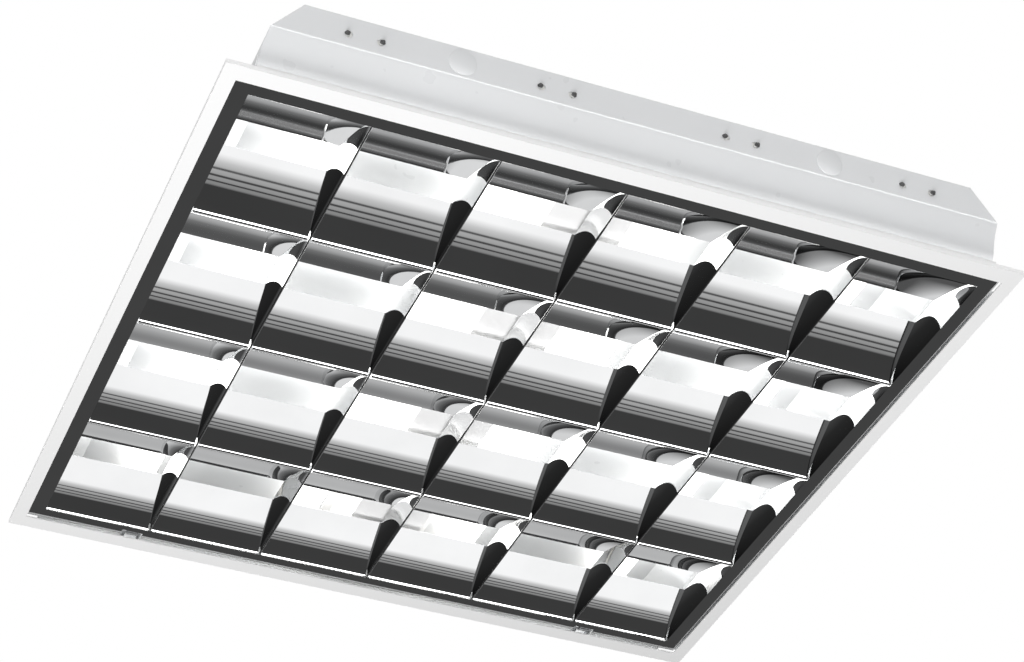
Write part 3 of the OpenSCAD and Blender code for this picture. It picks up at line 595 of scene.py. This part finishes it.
# Knock-outs: low discs with a rounded rim, left standing a little out of the strip
def addKnockOuts(plate, s, side):
    work = bmesh.new()
    work.from_mesh(plate.data)
    for x in (-s["discX"], s["discX"]):
        disc = addRod(work, s, side, x, s["discZ"], s["disc"])
        # The edges of the disc's two flat ends, which alone have more than four corners
        rim = [e for e in work.edges if e.verts[0] in disc and e.verts[1] in disc and len(e.link_faces) == 2
               and any(len(f.verts) > 4 for f in e.link_faces)]
        bmesh.ops.bevel(work, geom=rim, offset=s["rim"] * mm, offset_type="OFFSET", segments=s["rimSteps"], profile=0.5,
                        affect="EDGES", material=-1)
    work.to_mesh(plate.data)
    work.free()
    smoothMesh(plate.data, s["sharp"])


def endPlate(s, side):
    word = "rear" if side > 0 else "front"
    line = plateLine(s)
    work = bmesh.new()

    def place(i, j):
        y, z = line[j]
        return at((2 * i / s["columns"] - 1) * outlineAt(s, z), side * y, z)
    addGrid(work, s["columns"], len(line) - 1, place)
    plate = finishSheet(work, s, "plate_" + word, mats["housing"], "housing", ["end_plate_" + word],
                        lambda c: Vector((0, side, -0.2)))
    pierce(plate, s, side)
    addKnockOuts(plate, s, side)


for side in (-1, 1):
    endPlate(plateSettings, side)
print("end plates made")

# The bezel's edges slightly broken, as folded and painted sheet is
bezelEdge = {"width": 0.3, "steps": 2, "sharp": 50}
for name in bezelNodes:
    soft = nodes[name].modifiers.new("soft_edges", "BEVEL")
    soft.width = bezelEdge["width"] * mm
    soft.segments = bezelEdge["steps"]
    soft.limit_method = "ANGLE"
    soft.angle_limit = math.radians(bezelEdge["sharp"])


# Surroundings: white for the camera, a room that is darker below for paint, and for mirrors a studio by angle
def makeWorld(s):
    world = bpy.data.worlds.new("studio")
    bpy.context.scene.world = world
    world.use_nodes = True
    tree = world.node_tree
    tree.nodes.clear()
    out = tree.nodes.new("ShaderNodeOutputWorld")
    path = tree.nodes.new("ShaderNodeLightPath")
    coords = tree.nodes.new("ShaderNodeTexCoord")
    axes = splitAxes(tree, coords.outputs["Generated"])
    # Angle from straight down towards +Y
    angle = addMath(tree, "ARCTAN2", axes["Y"], addMath(tree, "MULTIPLY", axes["Z"], -1))

    def around(stops):
        return rampOver(tree, angle, -180, 180, stops)
    # The thin dark lines need a ramp of their own, because one of the whole circle is too coarse
    low, high = s["fine"][0][0], s["fine"][-1][0]
    whole = around(s["mirrored"])
    fine = rampOver(tree, angle, low, high, s["fine"])
    inside = addMath(tree, "MULTIPLY", addMath(tree, "GREATER_THAN", angle, math.radians(low)),
                     addMath(tree, "LESS_THAN", angle, math.radians(high)))
    mirrored = mixColors(tree, "MIX", inside, whole, fine)
    # A bright panel in front for the paint's highlights, then what light sees that has met a mirror before
    shine = addMath(tree, "MULTIPLY_ADD", around(s["panel"]), s["shine"], 1)
    mirrored = mixColors(tree, "MULTIPLY", 1, mirrored, shine)
    again = addMath(tree, "GREATER_THAN", path.outputs["Glossy Depth"], s["firstOnly"])
    mirrored = mixColors(tree, "MIX", again, mirrored, around(s["again"]))
    mirrored = mixColors(tree, "MULTIPLY", 1, mirrored, rampOver(tree, axes["X"], -1, 1, s["across"], 1))

    def background(color):
        node = tree.nodes.new("ShaderNodeBackground")
        if isinstance(color, tuple):
            node.inputs["Color"].default_value = color
        else:
            tree.links.new(color, node.inputs["Color"])
        return node.outputs["Background"]

    def choose(ray, otherwise, chosen):
        node = tree.nodes.new("ShaderNodeMixShader")
        tree.links.new(path.outputs[ray], node.inputs["Fac"])
        tree.links.new(otherwise, node.inputs[1])
        tree.links.new(chosen, node.inputs[2])
        return node.outputs["Shader"]
    plain = background(rampOver(tree, axes["Z"], -1, 1, s["plain"], 1))
    seen = choose("Is Glossy Ray", plain, background(mirrored))
    seen = choose("Is Camera Ray", seen, background((1, 1, 1, 1)))
    tree.links.new(seen, out.inputs["Surface"])


# A soft light that mirrors don't show
def addAreaLight(s):
    data = bpy.data.lights.new(s["name"], "AREA")
    data.shape = "RECTANGLE"
    data.size, data.size_y = s["size"]
    data.energy = s["power"]
    obj = bpy.data.objects.new(s["name"], data)
    obj.location = s["place"]
    obj.rotation_mode = "QUATERNION"
    obj.rotation_quaternion = (Vector(s["target"]) - Vector(s["place"])).to_track_quat("-Z", "Y")
    obj.visible_glossy = False
    bpy.context.scene.collection.objects.link(obj)


# Brightness at each angle in degrees, and for the plain room and across at each height and side from -1 to 1
makeWorld({"plain": [(-0.15, 0.14), (0.15, 1.12)], "shine": 10, "firstOnly": 1.5,
           "mirrored": [(-180, 0.5), (-120, 0.35), (-104, 0.55), (-96, 1.0), (-76, 1.0), (-66, 0.05), (-20, 0.045),
                        (0, 0.045), (44, 0.055), (62, 0.055), (72, 0.12), (92, 0.4), (130, 0.8), (180, 0.5)],
           "fine": [(0, 0.045), (7, 0.045), (8.2, 0.24), (9.8, 0.27), (10.1, 0.05), (10.7, 0.05), (11.0, 0.3),
                    (12.6, 0.33), (12.9, 0.06), (13.5, 0.06), (13.8, 0.36), (15.4, 0.42), (15.7, 0.08), (16.1, 0.08),
                    (16.4, 0.45), (18.0, 0.6), (20.0, 1.0), (38, 1.0), (44, 0.055)],
           "panel": [(-110, 0.0), (-100, 1.0), (-76, 1.0), (-66, 0.0)],
           "again": [(-180, 0.5), (-120, 0.6), (-90, 0.5), (-60, 0.06), (-20, 0.05), (0, 0.08), (20, 0.12), (40, 0.2),
                     (52, 0.42), (63, 0.75), (90, 0.8), (180, 0.5)],
           "across": [(-1, 0.12), (-0.36, 0.12), (-0.2, 1), (1, 1)]})
addAreaLight({"name": "below", "place": (-0.6, -0.6, -1.9), "target": (0, 0, 0), "size": (1.3, 1.3), "power": 40})
addAreaLight({"name": "front", "place": (0.1, -1.9, 0.3), "target": (0, -0.3, 0), "size": (0.8, 0.5), "power": 1.5})
bpy.context.scene.view_settings.view_transform = "Standard"
print("lights made")
